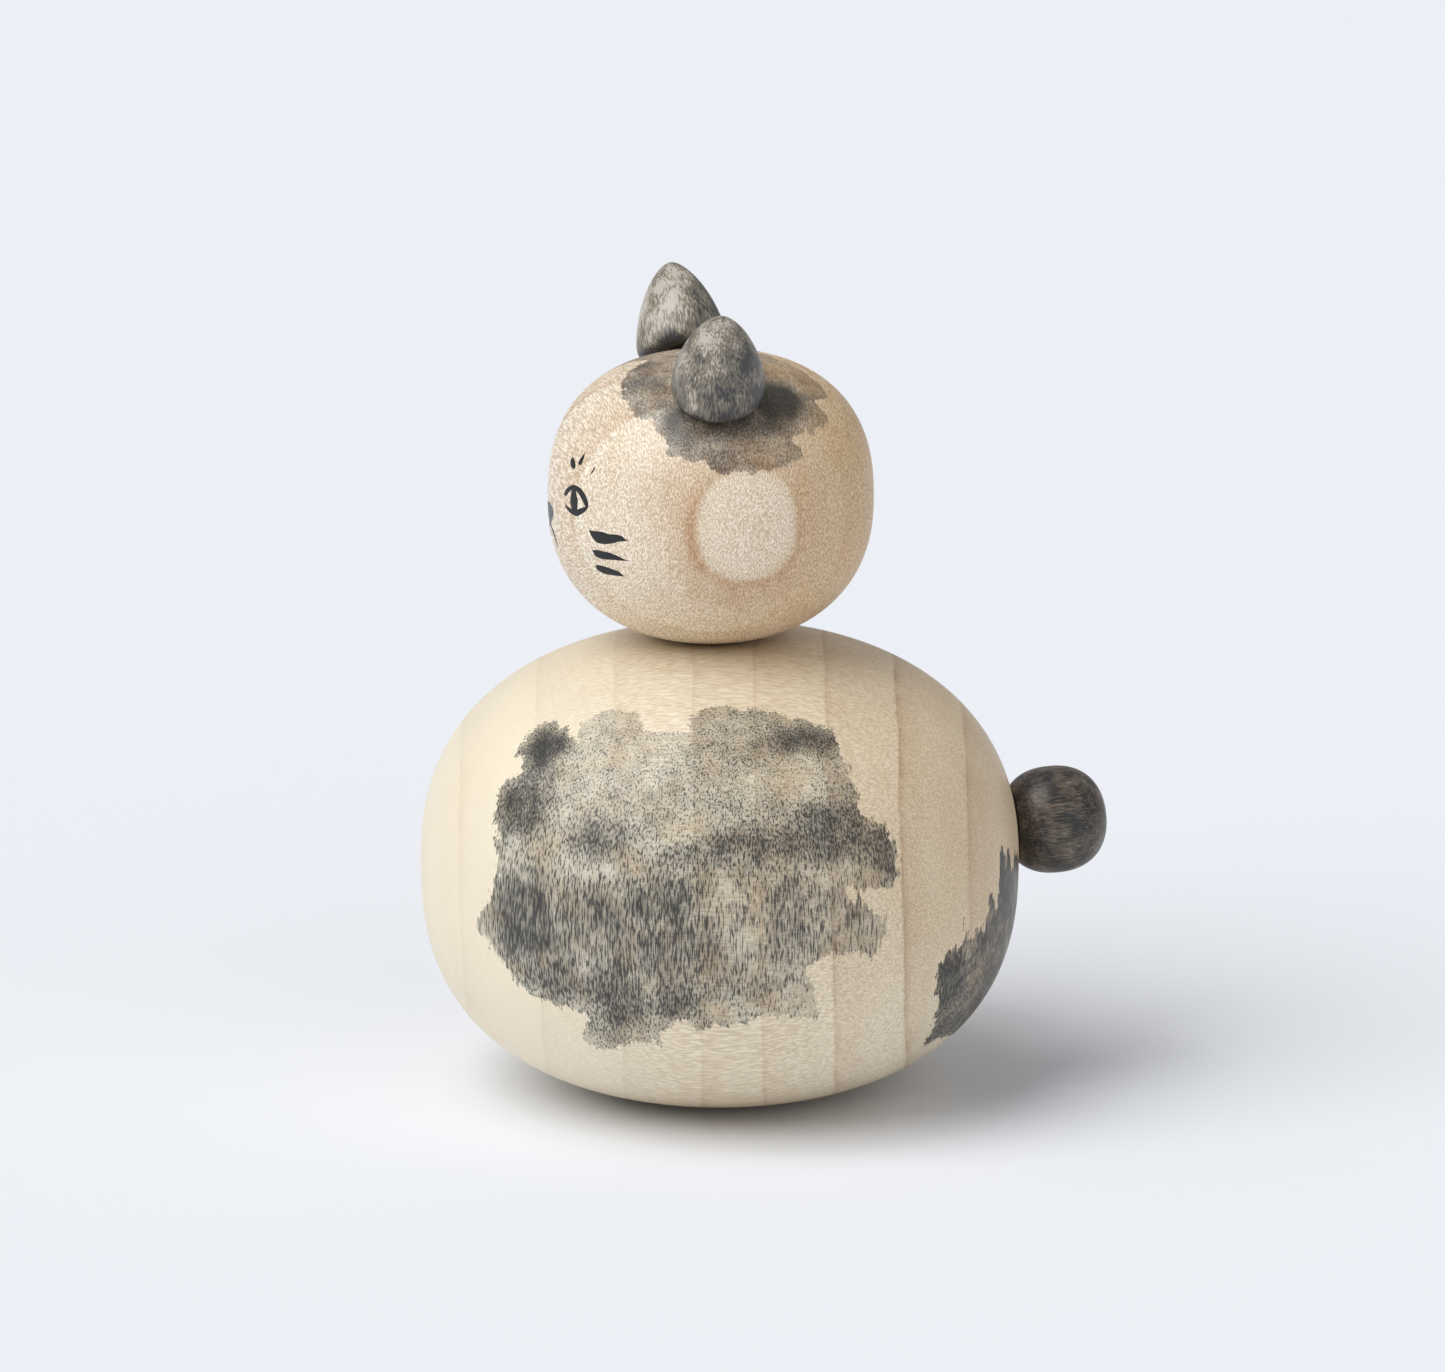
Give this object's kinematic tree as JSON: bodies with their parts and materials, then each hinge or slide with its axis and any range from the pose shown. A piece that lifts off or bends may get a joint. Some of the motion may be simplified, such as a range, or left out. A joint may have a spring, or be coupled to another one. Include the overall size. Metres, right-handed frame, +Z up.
{
  "type": "kokeshi doll",
  "caption": "Turned wooden cat kokeshi with a round body, a head that turns on a neck peg, pegged acorn ears and a ball tail.",
  "frame": {"origin": "centre of the flat foot, on the surface the doll stands on", "axes": "+Z up, the face looks along -Y, the tail points along +Y, the doll's own left side is +X"},
  "size_m": [0.06, 0.0694, 0.0813],
  "materials": {
    "pale_wood": "satin",
    "dyed_wood": "satin",
    "peg_wood": "satin"
  },
  "bodies": {
    "body": {"body": "pale_wood", "tail_ball": "dyed_wood", "tail_peg": "peg_wood"},
    "head": {"head": "pale_wood", "neck_peg": "peg_wood", "ear_left": "dyed_wood", "ear_right": "dyed_wood", "ear_peg_left": "peg_wood", "ear_peg_right": "peg_wood"}
  },
  "joints": [
    {"name": "head_turn", "type": "hinge", "parent": "body", "child": "head", "pos_m": [0, -0.0009, 0.04615], "axis": [0, 0, 1], "continuous": true}
  ]
}
